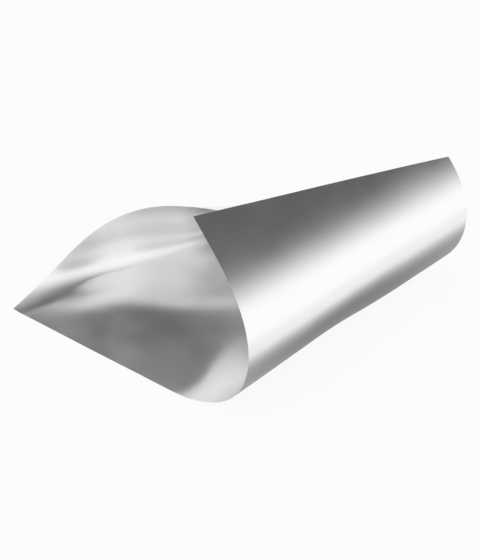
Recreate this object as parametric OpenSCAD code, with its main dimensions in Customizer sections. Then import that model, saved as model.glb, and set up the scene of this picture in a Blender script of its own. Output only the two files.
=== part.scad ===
// A loosely rolled sheet of hair foil, lying as it comes to rest.
// The sheet is one rectangle of thin aluminium. Its middle lies flat on the surface below, and
// both ends curl up from there: the outer end rises and folds back over as a tall open flap, and
// the inner end rolls up lower and at a slant, so that one corner is left out as a pointed tip.
// Foil bends but does not stretch, so the sheet is only ever bent about straight lines.
// Flat places on the sheet are [u, v]: u runs across the strip from its near cut edge, and v runs
// along the strip from the flap's free edge to the inner edge.

/* [Sheet] */
// Width of the strip of foil, in mm
sheet_w = 127; // [100:1:150]
// Length of the piece cut from the strip, in mm
sheet_l = 200; // [180:1:260]
// Thickness of the foil, in mm
foil_t = 0.02; // [0.015:0.005:0.2]

/* [Flat foot] */
// How far from the flap's corner the flat foot begins, along the near edge, in mm
foot_start = 121; // [95:1:145]
// How far from the pointed corner the flat foot ends, along the near edge, in mm
foot_end = 6.5; // [4:0.5:20]

/* [Outer curl] */
// Lean of the foot's bend line on this side from square across the strip, in degrees
outer_lean = 14.2; // [10:0.1:18]
// How far the outer curl turns from the foot to the flap's free edge, in degrees
outer_turn = 160; // [120:1:180]
// Swing of the bend lines between the foot and the flap's corner, in degrees
outer_swing = 1.5; // [1:0.1:8]
// How gently the bend builds up where it leaves the foot: 0 is at once
outer_start = 1.35; // [0.2:0.05:2]
// How early the bend fades out towards the flap's free edge: 0 is not at all
outer_fade = 2.2; // [0.5:0.05:3]

/* [Inner curl] */
// Lean of the foot's bend line on this side from square across the strip, in degrees
inner_lean = 25.8; // [14:0.2:32]
// How far the inner curl turns from the foot to its hidden corner, in degrees
inner_turn = 166; // [130:1:200]
// Swing of the bend lines between the foot and the hidden corner, in degrees
inner_swing = 45.2; // [35:0.2:55]
// How gently the bend builds up where it leaves the foot: 0 is at once
inner_start = 0.05; // [0:0.05:1]
// How early the bend fades out towards the hidden corner: 0 is not at all
inner_fade = 1.75; // [0.2:0.05:3]

/* [Fineness] */
// Flat facets in each curl
facets = 110; // [40:10:160]

/* [Hidden] */

// One facet in this many lies between a curl's end ruling and the corner nearest that end
short_stretch = 6;

// Where all the bend lines of a curl meet, beyond the far edge. Each is the crossing of the
// foot's own bend line with the one through the curl's last corner.
outer_meet_u = foot_start / (tan(outer_lean) - tan(outer_lean - outer_swing));
outer_meet = [outer_meet_u, foot_start - outer_meet_u * tan(outer_lean)];
inner_meet_u = (foot_end + sheet_w * tan(inner_lean + inner_swing))
             / (tan(inner_lean + inner_swing) - tan(inner_lean));
inner_meet = [inner_meet_u, sheet_l - foot_end - inner_meet_u * tan(inner_lean)];

// Angle of the bend line from the meeting point through a flat place, from square across
function lean_of(meet, place) = atan2(place.y - meet.y, meet.x - place.x);

// The leans of a curl's bend lines, from the foot to its mid corner and on to its end corner
function leans(first, mid, last, to_mid) =
    [for (i = [0 : facets])
        i < to_mid ? first + (mid - first) * i / to_mid
                   : mid + (last - mid) * (i - to_mid) / (facets - to_mid)];

outer_leans = leans(outer_lean, lean_of(outer_meet, [sheet_w, 0]), lean_of(outer_meet, [0, 0]),
                    facets - floor(facets / short_stretch));
inner_leans = leans(inner_lean, lean_of(inner_meet, [0, sheet_l]),
                    lean_of(inner_meet, [sheet_w, sheet_l]), floor(facets / short_stretch));

// How hard a curl bends at each facet: a hump over the way s from the foot (0) to the end (1)
function hump(s, start, fade) = pow(s, start) * pow(1 - s, fade);
function shares(at, start, fade) =
    let (way = at[facets] - at[0])
    [for (i = [0 : facets - 1])
        hump(((at[i] + at[i + 1]) / 2 - at[0]) / way, start, fade) * (at[i + 1] - at[i]) / way];
function sum(list) = list * [for (x = list) 1];
function bends(at, turn, start, fade) =
    let (share = shares(at, start, fade)) share * turn / sum(share);

// A bend line in space is a frame of three directions: along it, onward over the sheet, and up
// from the sheet's inner face. Tipping bends the sheet, and swinging goes on to the next line.
function tip(f, a) = [f[0], cos(a) * f[1] + sin(a) * f[2], cos(a) * f[2] - sin(a) * f[1]];
function swing(f, a) = [cos(a) * f[0] + sin(a) * f[1], cos(a) * f[1] - sin(a) * f[0], f[2]];
function next(f, bend, step) = tip(swing(tip(f, bend / 2), step), bend / 2);

// The frames of one curl. side is -1 towards the flap and 1 towards the inner edge.
function frames(at, bend, side) =
    [for (i = 0,
          f = [[-cos(at[0]), sin(at[0]), 0], [side * sin(at[0]), side * cos(at[0]), 0], [0, 0, 1]];
          i <= facets;
          f = i < facets ? next(f, bend[i], abs(at[i + 1] - at[i])) : f,
          i = i + 1)
        f];

// The flat places where a bend line of lean a leaves the sheet, as distances from its meeting
// point: the near end and the far end
function outer_span(a) =
    [outer_meet.x / cos(a),
     max((outer_meet.x - sheet_w) / cos(a), -outer_meet.y / sin(a))];
function inner_span(a) =
    [min(inner_meet.x / cos(a), (sheet_l - inner_meet.y) / sin(a)),
     (inner_meet.x - sheet_w) / cos(a)];

// One row of the sheet: its near end, its far end and its upward direction
function row(meet, f, span) =
    [[meet.x, meet.y, 0] + span[0] * f[0], [meet.x, meet.y, 0] + span[1] * f[0], f[2]];

outer_frames = frames(outer_leans, bends(outer_leans, outer_turn, outer_start, outer_fade), -1);
inner_frames = frames(inner_leans, bends(inner_leans, inner_turn, inner_start, inner_fade), 1);
rows = concat(
    [for (i = [facets : -1 : 0]) row(outer_meet, outer_frames[i], outer_span(outer_leans[i]))],
    [for (i = [0 : facets]) row(inner_meet, inner_frames[i], inner_span(inner_leans[i]))]);
last = len(rows) - 1;

// The origin is under the middle of the sheet as it lies, level with the foot's underside
ends = [for (r = rows) each [r[0], r[1]]];
middle = [for (k = [0, 1]) (min([for (p = ends) p[k]]) + max([for (p = ends) p[k]])) / 2];
shift = [-middle.x, -middle.y, foil_t / 2];

// Four points to a row: near and far on the inner face, then near and far on the outer face.
// The first and last rows are the corners that the curls end in, so both their ends are one.
sheet_points = [for (r = rows) each [
    r[0] + shift + r[2] * foil_t / 2,
    r[1] + shift + r[2] * foil_t / 2,
    r[0] + shift - r[2] * foil_t / 2,
    r[1] + shift - r[2] * foil_t / 2]];
function near(k, face) = 4 * k + 2 * face;
function far(k, face) = near(k, face) + (k == 0 || k == last ? 0 : 1);
sheet_faces = concat(
    [for (k = [0 : last - 2]) each [
        [near(k, 0), near(k + 1, 0), far(k + 1, 0)],
        [near(k, 1), far(k + 1, 1), near(k + 1, 1)]]],
    [for (k = [1 : last - 1]) each [
        [near(k, 0), far(k + 1, 0), far(k, 0)],
        [near(k, 1), far(k, 1), far(k + 1, 1)]]],
    [for (k = [0 : last - 1]) each [
        [near(k, 0), near(k, 1), near(k + 1, 1)],
        [near(k, 0), near(k + 1, 1), near(k + 1, 0)],
        [far(k, 0), far(k + 1, 1), far(k, 1)],
        [far(k, 0), far(k + 1, 0), far(k + 1, 1)]]]);

module foil_sheet() {
    color([0.90, 0.90, 0.90])
        polyhedron(points = sheet_points, faces = sheet_faces, convexity = 8);
}

foil_sheet();
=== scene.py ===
# %% [markdown]
# # A loosely rolled sheet of hair foil
# The object is one rectangle of thin aluminium, cut from a strip that hairdressers fold round
# colour. It lies as it comes to rest: the middle flat on the table, the outer end standing up
# and folded back over as a tall flap, the inner end rolled up lower and at a slant.
# The CAD model comes in first, as a fixed frame that everything else is measured against.

# %% The CAD frame
import bpy
import numpy as np
from mathutils import Matrix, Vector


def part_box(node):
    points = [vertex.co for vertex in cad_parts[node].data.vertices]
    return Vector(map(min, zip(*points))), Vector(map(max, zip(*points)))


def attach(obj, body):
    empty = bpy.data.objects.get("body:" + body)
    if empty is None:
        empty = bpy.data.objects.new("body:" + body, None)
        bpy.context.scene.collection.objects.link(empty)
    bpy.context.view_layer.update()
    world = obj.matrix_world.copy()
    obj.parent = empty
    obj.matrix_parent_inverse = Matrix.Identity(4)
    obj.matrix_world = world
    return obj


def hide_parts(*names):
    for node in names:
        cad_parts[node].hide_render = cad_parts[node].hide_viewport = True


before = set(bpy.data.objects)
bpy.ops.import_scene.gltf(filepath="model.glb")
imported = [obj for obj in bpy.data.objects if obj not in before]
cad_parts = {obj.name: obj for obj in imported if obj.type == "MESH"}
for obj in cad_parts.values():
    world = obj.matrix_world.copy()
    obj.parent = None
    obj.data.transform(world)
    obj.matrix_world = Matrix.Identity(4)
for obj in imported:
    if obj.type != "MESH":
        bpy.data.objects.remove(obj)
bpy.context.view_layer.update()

MM = 0.001

# %% [markdown]
# ## The sizes of the sheet and its curls
# Foil bends but doesn't stretch, so the rolled sheet is worked out as a flat rectangle that is
# bent about straight lines. A place on the flat sheet is (u, v): u runs across the strip and v
# along it, from the flap's free edge to the inner edge. Each curl is a fan of bend lines that
# all meet in one point of the table's plane, beyond the far edge of the strip.
# The same lengths and angles shape the CAD solid, so the two agree without any fitting.

# %% Sizes, in mm and degrees
SHEET_W, SHEET_L, FOIL_T = 127.0, 200.0, 0.02
FOOT_START, FOOT_END = 121.0, 6.5
OUTER = dict(lean=14.2, turn=160.0, swing=1.5, start=1.35, fade=2.2, side=-1)
INNER = dict(lean=25.8, turn=166.0, swing=45.2, start=0.05, fade=1.75, side=1)
BEND_LINES = 600


def slope(lean):
    """Rise in v for each mm in u of a bend line that leans by so many degrees."""
    return np.tan(np.radians(lean))


def meeting(curl, on_near_edge, corner_v):
    """The crossing of the foot's bend line, through (0, on_near_edge), with the end corner's."""
    first, last = slope(curl["lean"]), slope(curl["lean"] + curl["side"] * curl["swing"])
    corner_u = 0.0 if curl["side"] < 0 else SHEET_W
    meet_u = (corner_v - on_near_edge + corner_u * last) / (last - first)
    return np.array([meet_u, on_near_edge - meet_u * first])


OUTER["meet"] = meeting(OUTER, FOOT_START, 0.0)
INNER["meet"] = meeting(INNER, SHEET_L - FOOT_END, SHEET_L)
print("bend lines meet at", OUTER["meet"].round(1), "and", INNER["meet"].round(1))

# %% [markdown]
# ## How a fan of bend lines curls the sheet
# Along the fan the bend builds up, slowly on the tall curl and almost at once on the low one, and
# fades out again towards the free edge, the way thin metal springs open. The share of the bend at
# a way s between the foot (0) and the end (1) is a hump: s to one power times (1 - s) to another.
# Walking from one bend line to the next, a frame of three directions is turned: half the
# bend about the line, the small swing to the next line, and the other half of the bend.

# %% The bend lines in space
def turned(first, second, angle):
    """Two square directions, both turned by the angle from the first towards the second."""
    cos, sin = np.cos(angle), np.sin(angle)
    return cos * first + sin * second, cos * second - sin * first


def fan(curl):
    """Leans of a curl's bend lines, and for each its direction and the sheet's upward direction.

    The directions are a running product: turn by half the bend about the line, by the step in
    lean about the sheet's upward direction, and by the other half of the bend.
    """
    meet_u, meet_v = curl["meet"]
    end_v = 0.0 if curl["side"] < 0 else SHEET_L
    ends = [np.arctan2(end_v - meet_v, meet_u - u) for u in (0.0, SHEET_W)]
    first = np.radians(curl["lean"])
    last = ends[int(np.argmax(np.abs(np.array(ends) - first)))]
    leans = np.linspace(first, last, BEND_LINES + 1)
    step = abs(leans[1] - leans[0])
    way = (np.arange(BEND_LINES) + 0.5) / BEND_LINES
    share = way ** curl["start"] * (1 - way) ** curl["fade"]
    half_bends = np.radians(curl["turn"]) * share / share.sum() / 2
    along = np.array([-np.cos(first), np.sin(first), 0.0])
    onward = curl["side"] * np.array([np.sin(first), np.cos(first), 0.0])
    up = np.array([0.0, 0.0, 1.0])
    lines, ups = [along], [up]
    for half_bend in half_bends:
        onward, up = turned(onward, up, half_bend)
        along, onward = turned(along, onward, step)
        onward, up = turned(onward, up, half_bend)
        lines.append(along)
        ups.append(up)
    return leans, np.array(lines), np.array(ups)


def curled(u, v, curl):
    """Where the flat places (u, v) of one curl lie in space, and the way up from the sheet.

    A place keeps its distance from the meeting point, and lies that far along its bend line:
    place = meeting point + distance times the line's direction.
    """
    leans, lines, ups = fan(curl)
    du, dv = curl["meet"][0] - u, v - curl["meet"][1]
    lean, distance = np.arctan2(dv, du), np.hypot(du, dv)
    order = np.argsort(leans)
    pick = [np.interp(lean, leans[order], lines[order, k]) for k in range(3)]
    rise = [np.interp(lean, leans[order], ups[order, k]) for k in range(3)]
    line, up = np.stack(pick, -1), np.stack(rise, -1)
    line /= np.linalg.norm(line, axis=-1, keepdims=True)
    up /= np.linalg.norm(up, axis=-1, keepdims=True)
    meet = np.array([curl["meet"][0], curl["meet"][1], 0.0])
    return meet + distance[..., None] * line, up


def rolled_sheet(u, v):
    """Where flat places lie in space: flat between the foot's two bend lines, curled outside."""
    outer_side = v < FOOT_START - u * slope(OUTER["lean"])
    inner_side = v > SHEET_L - FOOT_END - u * slope(INNER["lean"])
    flat = np.stack([u, v, np.zeros_like(u)], -1)
    flat_up = np.zeros_like(flat)
    flat_up[..., 2] = 1.0
    outer, outer_up = curled(u, v, OUTER)
    inner, inner_up = curled(u, v, INNER)
    place = np.where(outer_side[..., None], outer, np.where(inner_side[..., None], inner, flat))
    up = np.where(outer_side[..., None], outer_up, np.where(inner_side[..., None], inner_up, flat_up))
    return place, up


# %% [markdown]
# ## The unevenness of a hand-rolled sheet
# No handled foil is a perfect curl. Thin metal keeps very shallow dents all over, which show only
# in the way reflections swim. They could be sculpted by hand, but a sum of long soft waves over
# the flat sheet gives them evenly, a few hundredths of a millimetre to two tenths high. That
# keeps the outline and the size.

# %% Fine dents
DENT_SEED = 11
DENT_WAVES = 26
DENT_LENGTHS = (14.0, 70.0)
DENT_HEIGHT = 0.12


def fine_dents(u, v):
    """Height in mm: a sum of sine waves, of random length and direction, the longest highest."""
    rng = np.random.default_rng(DENT_SEED)
    length = rng.uniform(*DENT_LENGTHS, DENT_WAVES)
    heading = rng.uniform(0.0, np.pi, DENT_WAVES)
    phase = rng.uniform(0.0, 2 * np.pi, DENT_WAVES)
    height = length / length.max()
    across = u[..., None] * np.cos(heading) + v[..., None] * np.sin(heading)
    waves = height * np.sin(2 * np.pi * across / length + phase)
    return DENT_HEIGHT * waves.sum(-1) / np.sqrt(DENT_WAVES)


# %% [markdown]
# ## Soft buckles
# A sheet that was picked up and let go also keeps a few broad buckles, a few centimetres long and
# two or three millimetres high. They give the satin side its large light and dark patches. They
# could be folded in with more bend lines, but a bell on the flat sheet is simpler and stays
# smooth. One lifts the foil low on the tall curl, with a hollow beside it at the near edge. One
# runs over the flat foot towards the tip, with two hollows along its far side. The last is a rise
# on the low curl. Along the flap's edge and the far edge they have died away, and along the near
# edge they nearly cancel, so the outline stays as it is.

# %% Buckles
BUCKLES = [
    dict(at=(22, 96), long=37, wide=11, turn=-35, height=3.0),
    dict(at=(9, 111), long=12, wide=11, turn=0, height=-3.0),
    dict(at=(42, 146), long=40, wide=11, turn=129, height=3.0),
    dict(at=(57, 144), long=19, wide=11, turn=140, height=-2.1),
    dict(at=(40, 187), long=17, wide=11, turn=10, height=-2.7),
    dict(at=(89, 163), long=21, wide=11, turn=75, height=3.0),
]


def buckles(u, v):
    """Height in mm: for each buckle, its height times exp(-(a squared + b squared) / 2).

    a and b are the distances from its middle along and across it, in its own long and wide.
    """
    total = np.zeros_like(u)
    for bend in BUCKLES:
        turn = np.radians(bend["turn"])
        du, dv = u - bend["at"][0], v - bend["at"][1]
        a = (np.cos(turn) * du + np.sin(turn) * dv) / bend["long"]
        b = (np.cos(turn) * dv - np.sin(turn) * du) / bend["wide"]
        total += bend["height"] * np.exp(-(a ** 2 + b ** 2) / 2)
    return total


# %% [markdown]
# ## The sheet as a mesh
# The flat rectangle is a regular grid of places, carried into space in one go. The two faces
# are the same grid, half the foil's thickness to either side, and a narrow rim joins them, so
# the sheet is a closed solid as thin as the real foil. Where a dent or a buckle would go below
# the table, the table holds the foil up: a height z becomes half the sum of z and the root of
# (z squared plus a small length squared), which never falls below nought and has no crease. The
# faces are smooth and the rim is flat, which keeps the cut edge crisp. The UV map is the flat
# sheet itself, in metres, so the rolling marks can run along the strip.

# %% The grid and its two faces
CELLS_U, CELLS_V = 160, 256
TABLE_EASE = 0.5
cad_low, cad_high = (np.array(corner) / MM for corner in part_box("foil_sheet"))
u, v = np.meshgrid(np.linspace(0, SHEET_W, CELLS_U + 1), np.linspace(0, SHEET_L, CELLS_V + 1))
smooth, up = rolled_sheet(u, v)
middle = (smooth.reshape(-1, 3).min(0) + smooth.reshape(-1, 3).max(0)) / 2
shift = np.array([-middle[0], -middle[1], FOIL_T / 2])
place = smooth + shift + (fine_dents(u, v) + buckles(u, v))[..., None] * up
place[..., 2] = (place[..., 2] + np.hypot(place[..., 2], TABLE_EASE)) / 2
place[..., 2] += FOIL_T / 2 - place[..., 2].min()
faces_xyz = np.concatenate([(place + up * FOIL_T / 2).reshape(-1, 3),
                            (place - up * FOIL_T / 2).reshape(-1, 3)])
print("foil before dents, mm:", (smooth + shift).reshape(-1, 3).min(0).round(2),
      (smooth + shift).reshape(-1, 3).max(0).round(2), "CAD", cad_low.round(2), cad_high.round(2))

# %% The faces, the rim and the UV map
count = (CELLS_U + 1) * (CELLS_V + 1)
index = np.arange(count).reshape(CELLS_V + 1, CELLS_U + 1)
inner_face = np.stack([index[:-1, :-1], index[:-1, 1:], index[1:, 1:], index[1:, :-1]], -1)
inner_face = inner_face.reshape(-1, 4)
outer_face = inner_face[:, [0, 3, 2, 1]] + count
border = np.concatenate([index[0, :-1], index[:-1, -1], index[-1, :0:-1], index[:0:-1, 0]])
after = np.roll(border, -1)
rim = np.stack([border, border + count, after + count, after], -1)
quads = np.concatenate([inner_face, outer_face, rim])
sheet_uv = np.tile(np.stack([u, v], -1).reshape(-1, 2) * MM, (2, 1))

mesh = bpy.data.meshes.new("rolled_foil")
mesh.from_pydata((faces_xyz * MM).tolist(), [], quads.tolist())
mesh.uv_layers.new(name="flat_sheet")
mesh.uv_layers["flat_sheet"].uv.foreach_set("vector", sheet_uv[quads.ravel()].ravel())
flat_shaded = np.zeros(len(quads), dtype=bool)
flat_shaded[-len(rim):] = True
mesh.polygons.foreach_set("use_smooth", ~flat_shaded)
face_slot = np.zeros(len(quads), dtype=np.int32)
face_slot[len(inner_face):2 * len(inner_face)] = 1
mesh.polygons.foreach_set("material_index", face_slot)
mesh.validate()
mesh.update()
ends = np.empty(2 * len(mesh.edges), dtype=np.int32)
mesh.edges.foreach_get("vertices", ends)
on_rim = np.zeros(2 * count, dtype=bool)
on_rim[border], on_rim[border + count] = True, True
mesh.edges.foreach_set("use_edge_sharp", on_rim[ends].reshape(-1, 2).all(1))
foil = bpy.data.objects.new("rolled_foil", mesh)
bpy.context.scene.collection.objects.link(foil)
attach(foil, "root")
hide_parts("foil_sheet")
print("rolled_foil:", len(mesh.vertices), "vertices,", len(quads) * 2, "triangles")

# %% [markdown]
# ## The finish of rolled aluminium
# Foil is rolled two sheets at a time. The face that touched the steel roller is bright, and the
# face that touched the other sheet is a soft satin. Both carry very fine lines along the strip.
# A picture of brushed metal could be laid on, but a procedural metal stays sharp at any distance.
# Its roughness wavers in soft clouds, and a faint bump draws the rolling lines, both on the flat
# sheet's own UV map, so that they follow the foil round its curls.

# %% Helpers for node trees
def node(tree, kind, values=(), **settings):
    """A new node of the kind, with its settings and (socket, value) pairs filled in."""
    made = tree.nodes.new(kind)
    for name, value in settings.items():
        setattr(made, name, value)
    for socket, value in values:
        made.inputs[socket].default_value = value
    return made


def join(tree, *pairs):
    """Links output to input for each (node, output name, node, input name or number)."""
    for source, output, target, socket in pairs:
        tree.links.new(source.outputs[output], target.inputs[socket])


# %% The two finishes
FOIL_COLOUR = (0.90, 0.90, 0.90, 1.0)
LINES_PER_METRE = (1500.0, 30.0, 1.0)
CLOUDS_PER_METRE = 55.0
CLOUD_DETAIL, LINE_DETAIL = 4.0, 2.0
NOISE_LOW, NOISE_HIGH = 0.3, 0.7
LINE_DEPTH = 0.02 * MM


def foil_finish(name, haze, cloud, bump):
    """Metal whose roughness is haze, plus or minus cloud, with rolling lines along the strip."""
    mat = bpy.data.materials.new(name)
    mat.use_nodes = True
    tree = mat.node_tree
    shader = tree.nodes["Principled BSDF"]
    shader.inputs["Base Color"].default_value = FOIL_COLOUR
    shader.inputs["Metallic"].default_value = 1.0
    flat = node(tree, "ShaderNodeUVMap", uv_map="flat_sheet")
    clouds = node(tree, "ShaderNodeTexNoise", [("Scale", CLOUDS_PER_METRE),
                                               ("Detail", CLOUD_DETAIL)])
    rough = node(tree, "ShaderNodeMapRange", [("From Min", NOISE_LOW), ("From Max", NOISE_HIGH),
                                              ("To Min", haze - cloud), ("To Max", haze + cloud)])
    stretch = node(tree, "ShaderNodeMapping", [("Scale", LINES_PER_METRE)])
    lines = node(tree, "ShaderNodeTexNoise", [("Scale", 1.0), ("Detail", LINE_DETAIL)])
    relief = node(tree, "ShaderNodeBump", [("Strength", bump), ("Distance", LINE_DEPTH)])
    join(tree, (flat, "UV", clouds, "Vector"), (clouds, "Fac", rough, "Value"),
         (rough, "Result", shader, "Roughness"), (flat, "UV", stretch, "Vector"),
         (stretch, "Vector", lines, "Vector"), (lines, "Fac", relief, "Height"),
         (relief, "Normal", shader, "Normal"))
    return mat


mesh.materials.append(foil_finish("foil_satin_side", haze=0.32, cloud=0.035, bump=0.12))
mesh.materials.append(foil_finish("foil_bright_side", haze=0.22, cloud=0.03, bump=0.06))

# %% [markdown]
# ## The studio: floor and world
# A metal shows what is around it, so the studio is part of the finish. The floor is plain
# white. It shows to the camera mostly as its own plain white, and a little as a lit surface, so
# that it stays a backdrop and still keeps the sheet's soft contact shadow. A real table also
# gets darker close under the tall curl, and the curl's underside mirrors that. Here that shade
# is painted into the floor as a soft oval patch beside the curl, which only reflections see.

# %% Floor
FLOOR_HALF = 3.0
FLOOR_WHITE = (0.9, 0.9, 0.9, 1.0)
SHOWN_PLAIN = 0.9
# Painted shade: an oval beside the tall curl where the floor's plain white, as reflections see it,
# dims towards SHADE_LEVEL in the middle. The camera still sees plain white.
SHADE_AT = (7.5, -72.0, 0.0)
SHADE_ALONG, SHADE_ACROSS, SHADE_LEAN = 260.0, 80.0, -14.2
SHADE_LEVEL = 0.2


def white_floor():
    """A white plane: its own plain white for what looks at it, with a painted shade oval beside the
    tall curl in what reflections see, and lit white for the rest.
    """
    half = FLOOR_HALF
    corners = [(-half, -half, 0), (half, -half, 0), (half, half, 0), (-half, half, 0)]
    floor_mesh = bpy.data.meshes.new("floor")
    floor_mesh.from_pydata(corners, [], [(0, 1, 2, 3)])
    made = bpy.data.objects.new("floor", floor_mesh)
    bpy.context.scene.collection.objects.link(made)
    mat = bpy.data.materials.new("floor_white")
    mat.use_nodes = True
    tree = mat.node_tree
    tree.nodes.clear()
    lit = node(tree, "ShaderNodeBsdfDiffuse", [("Color", FLOOR_WHITE)])
    plain = node(tree, "ShaderNodeEmission")
    path = node(tree, "ShaderNodeLightPath")
    looked_at = node(tree, "ShaderNodeMath", operation="MAXIMUM")
    part = node(tree, "ShaderNodeMath", [(1, SHOWN_PLAIN)], operation="MULTIPLY")
    # The painted shade oval: plain white dimmed towards SHADE_LEVEL near SHADE_AT, for reflections
    # only.
    place = node(tree, "ShaderNodeTexCoord")
    oval = node(tree, "ShaderNodeMapping", [
        ("Location", [c * MM for c in SHADE_AT]),
        ("Rotation", (0.0, 0.0, np.radians(SHADE_LEAN))),
        ("Scale", (SHADE_ALONG * MM, SHADE_ACROSS * MM, 1.0))], vector_type="TEXTURE")
    away = node(tree, "ShaderNodeVectorMath", operation="LENGTH")
    shade = node(tree, "ShaderNodeMapRange", [("To Min", SHADE_LEVEL), ("To Max", 1.0)],
                 interpolation_type="SMOOTHSTEP")
    shown = node(tree, "ShaderNodeMath", operation="MAXIMUM")
    mix = node(tree, "ShaderNodeMixShader")
    out = node(tree, "ShaderNodeOutputMaterial")
    join(tree, (path, "Is Camera Ray", looked_at, 0), (path, "Is Glossy Ray", looked_at, 1),
         (looked_at, "Value", part, 0), (part, "Value", mix, "Fac"),
         (place, "Object", oval, "Vector"), (oval, "Vector", away, 0),
         (away, "Value", shade, "Value"), (shade, "Result", shown, 0),
         (path, "Is Camera Ray", shown, 1), (shown, "Value", plain, "Strength"),
         (lit, "BSDF", mix, 1), (plain, "Emission", mix, 2), (mix, "Shader", out, "Surface"))
    floor_mesh.materials.append(mat)


white_floor()

# %% [markdown]
# ## The light
# Soft studio light is a white dome. A plain white dome would leave the foil flat and pale, so
# two parts of it are darker, as the unlit ends of a studio are. Both stand high behind the sheet
# as the camera sees it: a wide one to the right, which the flap mirrors along its free edge, and a
# small one to the left. The flat middle of the sheet mirrors the place where the two overlap. Each
# fades smoothly into the white.

# %% World
WHITE_SKY = 1.1
DARK_PARTS = [
    dict(azimuth=3.0, elevation=48.0, core=14.0, fade=40.0, depth=0.90),
    dict(azimuth=59.0, elevation=50.0, core=11.0, fade=10.0, depth=0.92),
]


def direction(azimuth, elevation):
    """The direction that points along azimuth, from +X towards +Y, and up by elevation."""
    a, e = np.radians([azimuth, elevation])
    return np.array([np.cos(a) * np.cos(e), np.sin(a) * np.cos(e), np.sin(e)])


def studio_world():
    """A white dome times, for each dark part, a smooth step over the angle from its heading."""
    world = bpy.data.worlds.new("studio")
    world.use_nodes = True
    tree = world.node_tree
    tree.nodes["Background"].inputs["Color"].default_value = (1.0, 1.0, 1.0, 1.0)
    place = node(tree, "ShaderNodeTexCoord")
    level = node(tree, "ShaderNodeValue")
    level.outputs[0].default_value = WHITE_SKY
    for part in DARK_PARTS:
        toward = node(tree, "ShaderNodeVectorMath", operation="DOT_PRODUCT",
                      values=[(1, direction(part["azimuth"], part["elevation"]))])
        angle = node(tree, "ShaderNodeMath", operation="ARCCOSINE")
        step = node(tree, "ShaderNodeMapRange", interpolation_type="SMOOTHSTEP", values=[
            ("From Min", np.radians(part["core"])),
            ("From Max", np.radians(part["core"] + part["fade"])),
            ("To Min", 1.0 - part["depth"]), ("To Max", 1.0)])
        dimmed = node(tree, "ShaderNodeMath", operation="MULTIPLY")
        join(tree, (place, "Generated", toward, 0), (toward, "Value", angle, 0),
             (angle, "Value", step, "Value"), (level, 0, dimmed, 0), (step, "Result", dimmed, 1))
        level = dimmed
    join(tree, (level, 0, tree.nodes["Background"], "Strength"))
    return world


bpy.context.scene.world = studio_world()

# %% [markdown]
# ## The camera
# The camera looks down at the near corner of the sheet, from the side of the tall flap. Its
# place and focal length come from the sheet's four edges as the picture shows them.

# %% Camera
CAMERA_AT = np.array([-252.4, -164.7, 248.2]) * MM
CAMERA_AZ, CAMERA_EL, FOCAL_PX = 33.77, 39.12, 860.0
FRAME_W = 480
SENSOR_W = 36.0
NEAREST_SEEN = 10 * MM


def looking(azimuth, elevation, at):
    """A camera's matrix: it looks along azimuth from +X towards +Y, and down by elevation."""
    ahead = direction(azimuth, -elevation)
    right = direction(azimuth - 90.0, 0.0)
    matrix = np.eye(4)
    matrix[:3, 0], matrix[:3, 1], matrix[:3, 2] = right, np.cross(right, ahead), -ahead
    matrix[:3, 3] = at
    return Matrix(matrix.tolist())


camera_data = bpy.data.cameras.new("camera")
camera_data.sensor_fit = "HORIZONTAL"
camera_data.sensor_width = SENSOR_W
camera_data.lens = FOCAL_PX / FRAME_W * SENSOR_W
camera_data.clip_start = NEAREST_SEEN
camera = bpy.data.objects.new("camera", camera_data)
bpy.context.scene.collection.objects.link(camera)
camera.matrix_world = looking(CAMERA_AZ, CAMERA_EL, CAMERA_AT)
bpy.context.scene.camera = camera
bpy.context.scene.view_settings.view_transform = "Standard"
